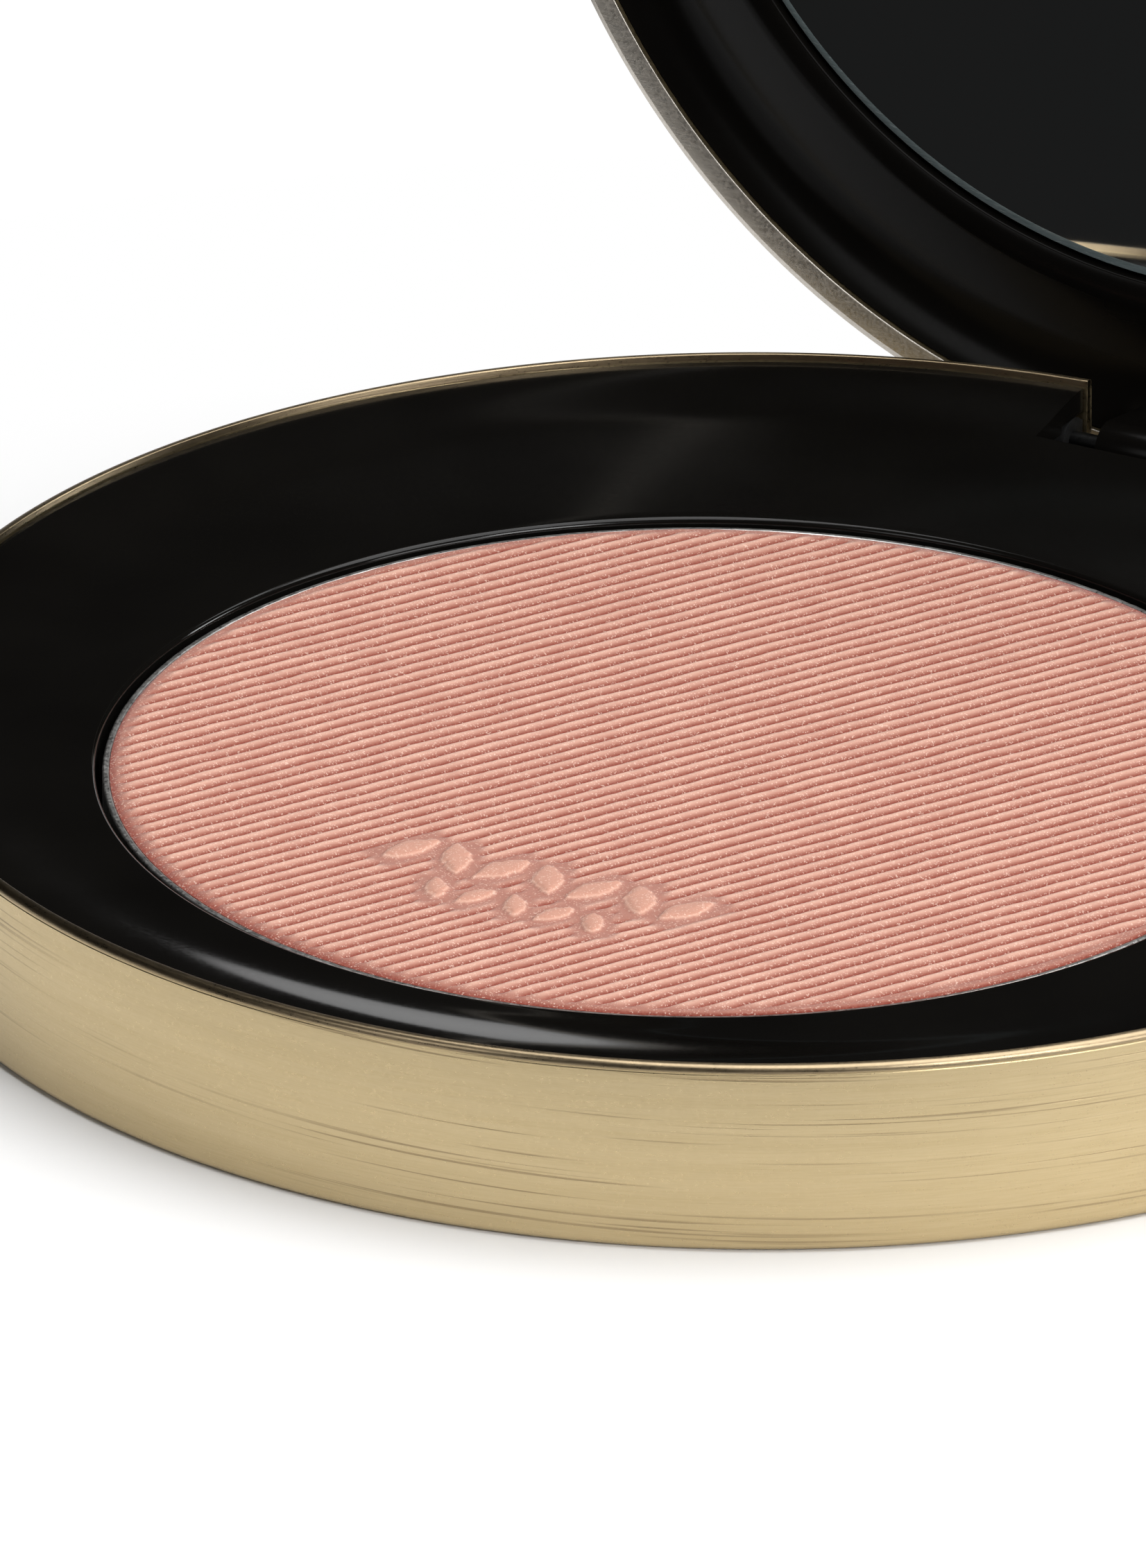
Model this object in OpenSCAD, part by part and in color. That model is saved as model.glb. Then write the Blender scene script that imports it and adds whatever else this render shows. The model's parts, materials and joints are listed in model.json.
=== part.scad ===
// Round powder compact with a hinged mirror lid.
// Millimetres, +Z up, origin at the centre of the underside, hinge at the back (+Y).
// The lid is drawn shut and then turned open about its hinge pin.

/* [Case] */
// Outer radius of the base and the lid
case_r = 35; // [32:0.5:40]
// Height of the base, from the table to the top of its sleeve
base_h = 7.9; // [7.9:0.1:9]
// Height of the lid, from its rim to the top of its cap
lid_h = 6.1; // [6.1:0.1:7]
// Gap between the two sleeves when the lid is shut
part_gap = 0.25; // [0.2:0.05:0.5]
// Wall of the base sleeve
sleeve_wall = 0.42; // [0.4:0.02:0.6]
// Width of the lid's rim
rim_wall = 1.2; // [1.1:0.05:1.2]

/* [Hinge] */
// How far the pin lies in from the outside of the case
hinge_inset = 1.5; // [1.4:0.05:1.6]
// How far the pin lies below the top of the base sleeve
hinge_drop = 2.3; // [2.2:0.05:2.4]
// Radius of the hinge pin
pin_r = 0.4; // [0.35:0.05:0.5]
// Running clearance between the pin and the lid's knuckle
pin_play = 0.05; // [0.03:0.01:0.08]
// Radius of the lid's knuckle
knuckle_r = 1.15; // [1:0.05:1.15]
// Width of the lid's knuckle
knuckle_w = 3.4; // [3:0.2:4]
// Width of the notch in the base sleeve
notch_w = 6.2; // [5.8:0.1:6.4]
// Depth of the notch in the base sleeve
notch_d = 3; // [2.8:0.1:3.1]
// Angle of the open lid, measured from shut
open_angle = 100; // [0:1:102]

/* [Pan and powder] */
// How far the pan sits towards the front
pan_offset = 5; // [4:0.25:5]
// Outer radius of the aluminium pan
pan_r = 23.75; // [20:0.25:23.75]
// Wall of the aluminium pan
pan_wall = 0.3; // [0.25:0.05:0.4]
// Gap between the pan and the opening it drops into
pan_gap = 0.25; // [0.2:0.05:0.4]
// Distance between two ribs on the powder
rib_pitch = 0.75; // [0.75:0.05:0.8]
// Height of the ribs
rib_h = 0.22; // [0.15:0.01:0.25]
// Direction of the ribs, from the hinge line
rib_angle = 61; // [61:1:62]
// Width of the plain border round the ribs
border_w = 0.55; // [0.4:0.05:1]

/* [Mirror] */
// Radius of the mirror
mirror_r = 26.6; // [25:0.1:26.6]
// Thickness of the mirror
mirror_t = 1.2; // [1:0.1:1.2]

/* [Hidden] */
$fn = 128;
cut = 0.01;              // how far a cutting shape runs past the face it opens

// base levels, from the table up
lip_t = 0.5;             // turned-in lip at the foot of the sleeve
foot_round = 0.45;       // rounding of the foot
top_round = 0.28;        // rounding of the sleeve's upper outside edge
plate_t = 1;             // bottom cover
floor_z = 1.8;           // inside floor of the chassis
weight_top = 3;          // top of the steel weight, underside of the pan well
well_floor = 4;          // floor of the pan well
keeper_t = 0.3;          // steel disc under the pan
pan_floor_t = 0.35;
pan_bottom = well_floor + keeper_t;
dish_z = base_h - 0.85;  // flat of the black dish
dish_edge = base_h - 0.3;// black dish where it meets the sleeve
dish_t = 0.8;            // wall of the black dish
powder_z = base_h - 0.95;// tops of the ribs
pan_top = base_h - 1.12; // rim of the pan
wall_top = dish_z - dish_t - 0.05; // chassis wall, where the dish rests

// base radii
sleeve_in = case_r - sleeve_wall;
lip_in = case_r - 1.2;   // inside of the turned-in lip
fit_gap = 0.08;          // between the sleeve and what it holds
tray_r = sleeve_in - fit_gap;
tray_wall = 1;
opening_r = pan_r + pan_gap;
well_wall = 0.75;
lip_round = 0.25;        // rounding of the opening's edge
dish_flat = pan_offset + opening_r + well_wall + 0.05;
powder_r = pan_r - pan_wall;

// hinge
hinge_y = case_r - hinge_inset;
hinge_z = base_h - hinge_drop;
cheek_r = 0.95;          // boss round the pin in the base
cheek_in = notch_w / 2 + 0.15;
cheek_out = cheek_in + 1.6;
pin_half = cheek_out - 0.1;
bay_front = hinge_y - 3.4; // front wall of the space the knuckle turns in
arm_out = 0.15;          // outside face of the knuckle's arm, past the pin
arm_in = 1.15;           // inside face of the arm, short of the pin

// lid levels, drawn shut
rim_z = base_h + part_gap;
lid_top = rim_z + lid_h;
flank_r = 28;            // where the boss round the mirror starts to fall away
flank_z = -0.75;         // height of that edge, from the lid's rim
flank_slope = 0.443;     // slope of the flank there
flank_curve = 0.0306;    // how fast the flank steepens
boss_z = rim_z - 0.82;   // flat of the boss
mirror_gap = 0.2;
mirror_z = boss_z + 0.1; // face of the mirror
tape_t = 0.15;
seat_z = mirror_z + mirror_t + tape_t;
frame_t = 1;
cove_w = 2.6;            // width of the ring between the flank and the sleeve
cove_up = 0.3;           // how far the frame's edge stays above the lid's rim
frame_r = case_r - rim_wall - 0.06;
cap_t = 1;
cap_z = lid_top - cap_t;
cap_r = case_r - 2.4;
cap_lip = 0.6;           // turned-in lip of the lid sleeve
stiff_t = 0.8;
stiff_z = cap_z - tape_t - stiff_t;

// magnets
magnet = [8, 2.2, 3];
magnet_y = -(tray_r - 2.2);
lid_magnet = [8, 2.2, 1.5];
lid_magnet_y = magnet_y + 0.6;
pan_magnet_r = 2.5;
pan_magnet_t = 0.7;
pan_magnet_ring = 12;
weight_r = 29.3;

// label in the underside
label_w = 24;
label_l = 9;
label_t = 0.15;
label_y = -22;

// raised mark on the powder, measured from the pan's centre
mark_y = -14;
mark_gap = 2.75;         // distance between its two rows
mark_h = 0.12;           // how far it stands above the ribs
leaf_tilt = 28;          // each leaf leans the other way from the one before

gold = [0.74, 0.66, 0.50];
black = [0.05, 0.05, 0.05];
dark = [0.16, 0.16, 0.17];
steel = [0.62, 0.63, 0.65];

// ---------- shared shapes ----------

// Plane area that rounds an outside corner at the origin, the corner pointing to +X +Y
module round_off(r) {
    difference() {
        translate([-r, -r]) square(r + cut);
        translate([-r, -r]) circle(r);
    }
}

// Flat disc standing on height z
module disc(r, z, t) {
    translate([0, 0, z]) cylinder(r = r, h = t);
}

// Rod along X on the hinge line
module hinge_rod(r, half) {
    translate([-half, hinge_y, hinge_z]) rotate([0, 90, 0]) cylinder(r = r, h = 2 * half);
}

// Box given by its lowest and highest corners
module block(low, high) {
    translate(low) cube(high - low);
}

module at_pan() {
    translate([0, -pan_offset, 0]) children();
}

// Turns what is drawn shut to the open pose
module opened() {
    translate([0, hinge_y, hinge_z]) rotate([-open_angle, 0, 0])
        translate([0, -hinge_y, -hinge_z]) children();
}

// ---------- base ----------

// Brushed sleeve with a turned-in foot and the hinge notch
module base_ring() {
    color(gold) difference() {
        rotate_extrude() difference() {
            union() {
                translate([sleeve_in, 0]) square([sleeve_wall, base_h]);
                translate([lip_in, 0]) square([case_r - lip_in, lip_t]);
            }
            translate([case_r, base_h]) round_off(top_round);
            translate([case_r, 0]) mirror([0, 1]) round_off(foot_round);
        }
        block([-notch_w / 2, 0, base_h - notch_d], [notch_w / 2, case_r + 1, base_h + 1]);
    }
}

// Bottom cover: a disc in the mouth of the lip, with a flange that lies on the lip
module base_plate() {
    color(dark) difference() {
        union() {
            disc(lip_in - fit_gap, 0, plate_t);
            disc(tray_r, lip_t, plate_t - lip_t);
        }
        translate([-label_w / 2, label_y, -cut]) cube([label_w, label_l, label_t + cut]);
    }
}

module base_label() {
    inset = 0.1;
    color("gainsboro") translate([-label_w / 2 + inset, label_y + inset, 0.03])
        cube([label_w - 2 * inset, label_l - 2 * inset, label_t - 0.03]);
}

// Moulded tray with the hinge cheeks and the shelf for the closing magnet
module base_chassis() {
    color(dark) difference() {
        union() {
            difference() {
                disc(tray_r, plate_t, wall_top - plate_t);
                disc(tray_r - tray_wall, floor_z, wall_top);
            }
            intersection() {
                disc(tray_r, plate_t, base_h);
                union() {
                    for (side = [-1, 1]) cheek(side);
                    block([-magnet.x / 2 - 1, -case_r, plate_t],
                          [magnet.x / 2 + 1, magnet_y + magnet.y + 0.2, weight_top]);
                }
            }
        }
        block([-cheek_in, bay_front, weight_top], [cheek_in, case_r, base_h]);
        hinge_rod(pin_r, cheek_out + 1);
    }
}

// Boss and leg that hold one end of the pin
module cheek(side) {
    inner = side > 0 ? cheek_in : -cheek_out;
    translate([inner, hinge_y, hinge_z]) rotate([0, 90, 0]) cylinder(r = cheek_r, h = cheek_out - cheek_in);
    block([inner, hinge_y - cheek_r, plate_t], [inner + cheek_out - cheek_in, hinge_y + cheek_r, hinge_z]);
}

module weight_plate() {
    color(steel) disc(weight_r, floor_z, weight_top - floor_z);
}

// Glossy dish: a flat floor that curves up to the sleeve, with an off-centre well for the pan
module base_insert() {
    color(black) difference() {
        union() {
            difference() {
                rotate_extrude() dish_profile();
                at_pan() disc(opening_r + well_wall / 2, 0, base_h);
            }
            at_pan() rotate_extrude() well_profile();
        }
        block([-cheek_in, bay_front, 0], [cheek_in, case_r, base_h]);
        block([-cheek_out - 0.3, bay_front, 0], [cheek_out + 0.3, case_r, hinge_z + cheek_r + 0.02]);
        magnet_pockets();
    }
}

// Height of the dish at radius r: flat, then a parabola up to the sleeve
function dish(r) = dish_z + (dish_edge - dish_z) * pow((r - dish_flat) / (tray_r - dish_flat), 2);

module dish_profile() {
    steps = 8;
    under = dish_z - dish_t;
    polygon(concat(
        [[0, under], [tray_r - tray_wall, under], [tray_r - tray_wall, wall_top], [tray_r, wall_top]],
        [for (i = [steps:-1:0]) let (r = dish_flat + (tray_r - dish_flat) * i / steps) [r, dish(r)]],
        [[0, dish_z]]
    ));
}

module well_profile() {
    difference() {
        union() {
            translate([opening_r, weight_top]) square([well_wall, dish_z - weight_top]);
            translate([0, weight_top]) square([opening_r + well_wall, well_floor - weight_top]);
        }
        translate([opening_r, dish_z]) mirror([1, 0]) round_off(lip_round);
    }
}

module pan_magnet_disc(r, t) {
    for (turn = [0, 120, 240])
        at_pan() rotate(turn + 90) translate([pan_magnet_ring, 0, weight_top]) cylinder(r = r, h = t);
}

module magnet_pockets() {
    pan_magnet_disc(pan_magnet_r + 0.05, pan_magnet_t + 0.05);
}

module pan_magnets() {
    color("silver") pan_magnet_disc(pan_magnet_r, pan_magnet_t);
}

module pan_keeper() {
    color(steel) at_pan() disc(16, well_floor, keeper_t);
}

// Drawn pan with a rounded rim
module refill_pan() {
    color([0.78, 0.78, 0.78]) at_pan() rotate_extrude() difference() {
        translate([0, pan_bottom]) square([pan_r, pan_top - pan_bottom]);
        translate([-cut, pan_bottom + pan_floor_t]) square([powder_r + cut, pan_top]);
        translate([pan_r, pan_top]) round_off(pan_wall / 3);
        translate([powder_r, pan_top]) mirror([1, 0]) round_off(pan_wall / 3);
    }
}

// Pressed powder: a plain disc with straight ribs inside a plain border, and a small raised mark
module powder_cake() {
    foot = powder_z - rib_h;
    color([0.90, 0.66, 0.57]) at_pan() union() {
        disc(powder_r, pan_bottom + pan_floor_t, foot - pan_bottom - pan_floor_t);
        intersection() {
            disc(powder_r - border_w, foot - cut, 2);
            rotate(rib_angle) translate([-powder_r, 0, 0]) rotate([90, 0, 90])
                linear_extrude(2 * powder_r) rib_profile(foot);
        }
        raised_mark(foot);
    }
}

// Ribs on each side of the middle one: as many as fit whole inside the border
module rib_profile(foot) {
    count = floor((powder_r - border_w) / rib_pitch - 0.5);
    polygon(concat(
        [for (i = [-count:count]) each [
            [(i - 0.5) * rib_pitch, foot],
            [(i - 0.12) * rib_pitch, powder_z],
            [(i + 0.12) * rib_pitch, powder_z]
        ]],
        [[(count + 0.5) * rib_pitch, foot], [(count + 0.5) * rib_pitch, foot - 1],
         [-(count + 0.5) * rib_pitch, foot - 1]]
    ));
}

// Two rows of leaves, seven over five, near the front of the powder
module raised_mark(foot) {
    leaf_row(3, 2.05, mark_y + mark_gap / 2, 2.7, 1.15, foot);
    leaf_row(2, 1.75, mark_y - mark_gap / 2, 1.9, 0.85, foot);
}

// Row of leaves centred on x = 0, with half_count of them on each side of the middle one
module leaf_row(half_count, pitch, y, length, width, foot) {
    for (i = [-half_count:half_count])
        translate([i * pitch, y, foot - cut]) rotate(i % 2 == 0 ? leaf_tilt : -leaf_tilt)
            linear_extrude(cut + rib_h + mark_h) leaf(length, width);
}

// Pointed leaf along Y, each side a parabola
module leaf(length, width) {
    steps = 4;
    side = [for (i = [0:steps]) let (t = 2 * i / steps - 1) [width / 2 * (1 - t * t), length / 2 * t]];
    polygon(concat(side, [for (i = [steps - 1:-1:1]) [-side[i].x, side[i].y]]));
}

module base_magnet() {
    color("silver") translate([-magnet.x / 2, magnet_y, weight_top]) cube(magnet);
}

module hinge_pin() {
    color(steel) hinge_rod(pin_r, pin_half);
}

// ---------- lid, drawn shut ----------

// Sleeve of the lid: a thick rim with a small outer bevel, and a turned-in lip that holds the cap
module lid_ring() {
    bevel = 0.35;
    ring_top = lid_top - 0.1;
    color(gold) opened() rotate_extrude() difference() {
        union() {
            translate([case_r - rim_wall, rim_z]) square([rim_wall, ring_top - rim_z]);
            translate([cap_r + fit_gap, ring_top - cap_lip])
                square([case_r - cap_r - fit_gap, cap_lip]);
        }
        polygon([[case_r - bevel, rim_z - cut], [case_r + cut, rim_z + bevel], [case_r + cut, rim_z - cut]]);
        translate([case_r, ring_top]) round_off(0.5);
    }
}

module lid_cap() {
    color(black) opened() rotate_extrude() difference() {
        translate([0, cap_z]) square([cap_r, cap_t]);
        translate([cap_r, lid_top]) round_off(0.3);
    }
}

module cap_tape() {
    color("white") opened() disc(cap_r - 1.5, cap_z - tape_t, tape_t);
}

module lid_stiffener() {
    color(steel) opened() disc(frame_r - 0.3, stiff_z, stiff_t);
}

// Height of the boss's flank above the lid's rim, at radius r
function flank(r) = flank_z + flank_slope * (r - flank_r) + flank_curve * pow(r - flank_r, 2) / 2;

// Glossy frame: a raised boss round the mirror whose flank falls away and then rises to the sleeve,
// with the knuckle on an arm at the back
module lid_frame() {
    color(black) opened() difference() {
        union() {
            rotate_extrude() frame_profile();
            knuckle();
        }
        hinge_rod(pin_r + pin_play, knuckle_w);
    }
}

module frame_profile() {
    steps = 8;
    seat_r = mirror_r + mirror_gap;
    cove_r = frame_r - cove_w;
    outer = [for (i = [0:steps]) let (r = flank_r + (cove_r - flank_r) * i / steps) [r, rim_z + flank(r)]];
    inner = [for (i = [steps:-1:0]) let (r = flank_r + (frame_r - 1 - flank_r) * i / steps)
        [r, rim_z + flank(r) + frame_t]];
    polygon(concat(
        [[seat_r, boss_z], [flank_r - 0.3, boss_z]],
        outer,
        [[frame_r, rim_z + cove_up], [frame_r, stiff_z], [frame_r - 1, stiff_z]],
        inner,
        [[flank_r - 0.3, seat_z + frame_t], [0, seat_z + frame_t], [0, seat_z], [seat_r, seat_z]]
    ));
}

// Barrel round the pin, and the arm that joins it to the frame
module knuckle() {
    hinge_rod(knuckle_r, knuckle_w / 2);
    block([-knuckle_w / 2, hinge_y - arm_in, hinge_z],
          [knuckle_w / 2, hinge_y + arm_out, rim_z + flank(hinge_y - arm_in) + frame_t]);
}

module mirror_glass() {
    color([0.75, 0.80, 0.85]) opened() disc(mirror_r, mirror_z, mirror_t);
}

module mirror_tape() {
    color("white") opened() disc(mirror_r - 0.8, mirror_z + mirror_t, tape_t);
}

module lid_magnet() {
    color("silver") opened()
        translate([-lid_magnet.x / 2, lid_magnet_y, stiff_z - lid_magnet.z]) cube(lid_magnet);
}

base_ring();
base_plate();
base_label();
base_chassis();
weight_plate();
base_insert();
pan_magnets();
pan_keeper();
refill_pan();
powder_cake();
base_magnet();
hinge_pin();
lid_ring();
lid_cap();
cap_tape();
lid_stiffener();
lid_frame();
mirror_glass();
mirror_tape();
lid_magnet();
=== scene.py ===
"""Looks of the round powder compact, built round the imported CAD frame.

Metres, the same frame as the CAD model: +Z up, origin at the centre of the underside, hinge at the back (+Y).
The lid's pieces are made shut and then turned open about the hinge, as the CAD model has them at rest.
"""

import json
import math

import bmesh
import bpy
import numpy as np
from mathutils import Matrix, Vector

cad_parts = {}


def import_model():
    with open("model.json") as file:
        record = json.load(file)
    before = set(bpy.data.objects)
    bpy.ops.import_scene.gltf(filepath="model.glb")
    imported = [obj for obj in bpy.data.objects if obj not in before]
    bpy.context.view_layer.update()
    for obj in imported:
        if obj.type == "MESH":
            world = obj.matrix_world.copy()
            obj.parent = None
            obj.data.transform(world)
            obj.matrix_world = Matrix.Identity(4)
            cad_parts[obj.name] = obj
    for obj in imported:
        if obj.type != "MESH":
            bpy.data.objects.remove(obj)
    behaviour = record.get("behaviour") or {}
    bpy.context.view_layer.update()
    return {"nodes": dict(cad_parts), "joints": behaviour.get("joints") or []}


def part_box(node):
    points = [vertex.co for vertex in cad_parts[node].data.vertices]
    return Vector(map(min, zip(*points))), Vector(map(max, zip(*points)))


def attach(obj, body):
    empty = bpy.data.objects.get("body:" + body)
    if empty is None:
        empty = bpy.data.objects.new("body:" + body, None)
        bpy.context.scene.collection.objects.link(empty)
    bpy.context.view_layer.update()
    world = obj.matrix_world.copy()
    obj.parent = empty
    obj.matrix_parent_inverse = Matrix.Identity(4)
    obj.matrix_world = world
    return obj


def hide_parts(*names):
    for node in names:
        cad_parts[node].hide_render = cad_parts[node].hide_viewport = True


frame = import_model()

MM = 0.001
NODES = frame["nodes"]
HINGE = frame["joints"][0]


def size(node):
    """Low and high corner of a CAD node, in millimetres."""
    low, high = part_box(node)
    return Vector(low) / MM, Vector(high) / MM


# ---------------------------------------------------------------- dimensions, in millimetres

RING_HIGH = size("base_ring")[1]
PAN_LOW, PAN_HIGH = size("refill_pan")
CAKE_LOW, CAKE_HIGH = size("powder_cake")
INSERT_HIGH = size("base_insert")[1]

CASE_R = RING_HIGH.x
BASE_H = RING_HIGH.z
SLEEVE_WALL = 0.42
LIP_IN = CASE_R - 1.2  # inner edge of the lip turned in under the base
LIP_T = 0.5
FOOT_ROUND = 0.44
EDGE_ROUND = 0.26
LINE_DROP = 0.34  # fine line round the sleeve, below its top edge
LINE_DEPTH = 0.025
EDGE_SHADE = (0.36, 0.24)  # painted shade: the sleeve's top edge darkens between these depths below it
NOTCH_W = 6.2
NOTCH_D = 3.0

PAN_Y = (PAN_LOW.y + PAN_HIGH.y) / 2
PAN_R = PAN_HIGH.x
CAKE_R = CAKE_HIGH.x
MARK_H = 0.12
RIB_TOP = CAKE_HIGH.z - MARK_H
RIB_H = 0.22
GROOVE_SHARE = 0.12  # height of a groove's bottom, as a share of the ribs' height
BORDER_SHARE = 0.55  # height of the plain border, as a share of the way from groove to crest
GROUND_SHARE = 0.64  # height of the smooth ground round the mark, as a share of the ribs' height
RIB_POWER = 1.8  # 2 gives rounded crests, 1 gives a zigzag
RIB_PITCH = 0.75
RIB_ANGLE = math.radians(61)
BORDER = 0.55

TRAY_R = INSERT_HIGH.x
DISH_Z = BASE_H - 0.85
DISH_EDGE = BASE_H - 0.3
DISH_T = 0.8
DISH_LIP = 0.25  # rounding of the opening's edge
WELL_WALL = 0.75
OPENING_R = PAN_R + 0.25
DISH_FLAT = -PAN_Y + OPENING_R + WELL_WALL + 0.05
WELL_FLOOR = 4.0
WELL_BASE = 3.0

HINGE_Y = HINGE["pos_m"][1] / MM
HINGE_Z = HINGE["pos_m"][2] / MM
OPEN_TURN = math.radians(HINGE["range_deg"][0])
KNUCKLE_R = 1.15
KNUCKLE_W = 3.4
PIN_HOLE = 0.45
BAY_FRONT = HINGE_Y - 3.4
ARM_IN = 1.15  # the knuckle's arm, in front of the pin and behind it
ARM_OUT = 0.15
CHEEK_IN = NOTCH_W / 2 + 0.15
CHEEK_OUT = CHEEK_IN + 1.6
CHEEK_FRONT = HINGE_Y - 1.05
CHEEK_TOP = HINGE_Z + 0.97

RIM_Z = BASE_H + 0.25
LID_TOP = RIM_Z + 6.1
RIM_WALL = 1.2
RIM_BEVEL = 0.35
CAP_R = CASE_R - 2.4
CAP_SINK = 0.6
FRAME_R = CASE_R - RIM_WALL - 0.06
COVE_R = FRAME_R - 2.6
COVE_Z = RIM_Z + 0.3
FLANK_R = 28.0
FLANK_DROP = 0.75  # how far the flank's inner end stands out past the rim
FLANK_SLOPE = 0.443
FLANK_CURVE = 0.0306
BOSS_Z = RIM_Z - 0.82
MIRROR_R = size("mirror_glass")[1].x
MIRROR_Z = BOSS_Z + 0.1
MIRROR_T = 1.2
TAPE_T = 0.15
SEAT_Z = MIRROR_Z + MIRROR_T + TAPE_T
STIFF_Z = LID_TOP - 1.95


# ---------------------------------------------------------------- mesh helpers

def finish_mesh(name, verts, faces, shut_lid=False):
    """Object from points in millimetres. A lid piece is drawn shut and turned open."""
    mesh = bpy.data.meshes.new(name)
    mesh.from_pydata([tuple(p) for p in np.asarray(verts, float) * MM], [], faces)
    mesh.validate()
    made = bpy.data.objects.new(name, mesh)
    bpy.context.scene.collection.objects.link(made)
    if shut_lid:
        open_lid(made)
    outward(mesh)
    for face in mesh.polygons:
        face.use_smooth = True
    return made


def open_lid(piece):
    """Turns a piece drawn on the shut lid to the open pose."""
    pivot = Matrix.Translation((0, HINGE_Y * MM, HINGE_Z * MM))
    piece.data.transform(pivot @ Matrix.Rotation(OPEN_TURN, 4, "X") @ pivot.inverted())


def outward(mesh):
    """Turns every face of a closed mesh to face out."""
    bm = bmesh.new()
    bm.from_mesh(mesh)
    bmesh.ops.recalc_face_normals(bm, faces=bm.faces)
    bm.to_mesh(mesh)
    bm.free()


def rounded(corners, steps=5):
    """Outline through corners (x, y, fillet), each rounded by its own fillet."""
    out = []
    for i, (x, y, fillet) in enumerate(corners):
        here = Vector((x, y))
        if fillet <= 0:
            out.append(here)
            continue
        before = (Vector(corners[i - 1][:2]) - here).normalized()
        after = (Vector(corners[(i + 1) % len(corners)][:2]) - here).normalized()
        half = before.angle(after) / 2
        centre = here + (before + after).normalized() * (fillet / math.sin(half))
        start = here + before * (fillet / math.tan(half)) - centre
        sweep = math.pi - 2 * half
        if before.cross(after) > 0:
            sweep = -sweep
        for k in range(steps + 1):
            turn = Matrix.Rotation(sweep * k / steps, 2)
            out.append(centre + turn @ start)
    return out


def fillet(start, corner, end, steps=10):
    """Smooth bend from start to end that leaves and arrives in line with the corner."""
    a, b, c = Vector(start), Vector(corner), Vector(end)
    along = [k / steps for k in range(1, steps + 1)]
    return [a * (1 - t) ** 2 + b * 2 * t * (1 - t) + c * t ** 2 for t in along]


def lathe(name, outline, segments=384, shut_lid=False):
    """Closed solid turned about Z. An outline that starts and ends at radius 0 is closed by fans."""
    open_ended = outline[0][0] < 1e-6
    rings = outline[1:-1] if open_ended else outline
    turn = np.linspace(0, 2 * math.pi, segments, endpoint=False)
    verts = [
        (r * c, r * s, z) for r, z in rings for c, s in zip(np.cos(turn), np.sin(turn))
    ]
    count = len(rings)
    faces = []
    for i in range(count - 1 if open_ended else count):
        low, high = i * segments, (i + 1) % count * segments
        for k in range(segments):
            nxt = (k + 1) % segments
            faces.append((low + k, low + nxt, high + nxt, high + k))
    if open_ended:
        for ring, z in ((0, outline[0][1]), (count - 1, outline[-1][1])):
            pole = len(verts)
            verts.append((0, 0, z))
            base = ring * segments
            faces += [(base + k, base + (k + 1) % segments, pole) for k in range(segments)]
    return finish_mesh(name, verts, faces, shut_lid)


def block(name, low, high, shut_lid=False):
    """Plain box used as a cutter or as the start of a shaped piece."""
    (x0, y0, z0), (x1, y1, z1) = low, high
    verts = [(x, y, z) for x in (x0, x1) for y in (y0, y1) for z in (z0, z1)]
    faces = [(0, 1, 3, 2), (4, 6, 7, 5), (0, 4, 5, 1), (2, 3, 7, 6), (0, 2, 6, 4), (1, 5, 7, 3)]
    return finish_mesh(name, verts, faces, shut_lid)


def rod(name, radius, half, segments=64, shut_lid=False):
    """Round bar along X on the hinge line."""
    turn = np.linspace(0, 2 * math.pi, segments, endpoint=False)
    ring = [(HINGE_Y + radius * math.cos(t), HINGE_Z + radius * math.sin(t)) for t in turn]
    verts = [(x, y, z) for x in (-half, half) for y, z in ring]
    faces = [(k, (k + 1) % segments, segments + (k + 1) % segments, segments + k) for k in range(segments)]
    faces += [tuple(range(segments)), tuple(range(segments, 2 * segments))]
    return finish_mesh(name, verts, faces, shut_lid)


def apply_modifiers(piece):
    """Bakes the piece's modifiers into its mesh."""
    graph = bpy.context.evaluated_depsgraph_get()
    mesh = bpy.data.meshes.new_from_object(piece.evaluated_get(graph))
    piece.modifiers.clear()
    piece.data = mesh


def combine(piece, others, operation):
    """Cuts the others out of the piece, or joins them to it, and removes them."""
    for other in others:
        step = piece.modifiers.new("combine", "BOOLEAN")
        step.operation = operation
        step.solver = "EXACT"
        step.object = other
    apply_modifiers(piece)
    for other in others:
        bpy.data.objects.remove(other)


def soften(piece, width, angle=35, segments=3):
    """Rounds the sharp edges of a piece and shades it smooth."""
    bevel = piece.modifiers.new("soften", "BEVEL")
    bevel.width = width * MM
    bevel.segments = segments
    bevel.limit_method = "ANGLE"
    bevel.angle_limit = math.radians(angle)
    bevel.harden_normals = False
    apply_modifiers(piece)
    for face in piece.data.polygons:
        face.use_smooth = True
    piece.data.set_sharp_from_angle(angle=math.radians(angle))


def dress(piece, body, nodes, slot, *materials):
    """Puts a finished piece on its body, in place of its CAD nodes."""
    piece.data.materials.clear()
    for material in materials:
        piece.data.materials.append(material)
    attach(piece, body)
    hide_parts(*nodes)


# ---------------------------------------------------------------- materials

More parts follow.
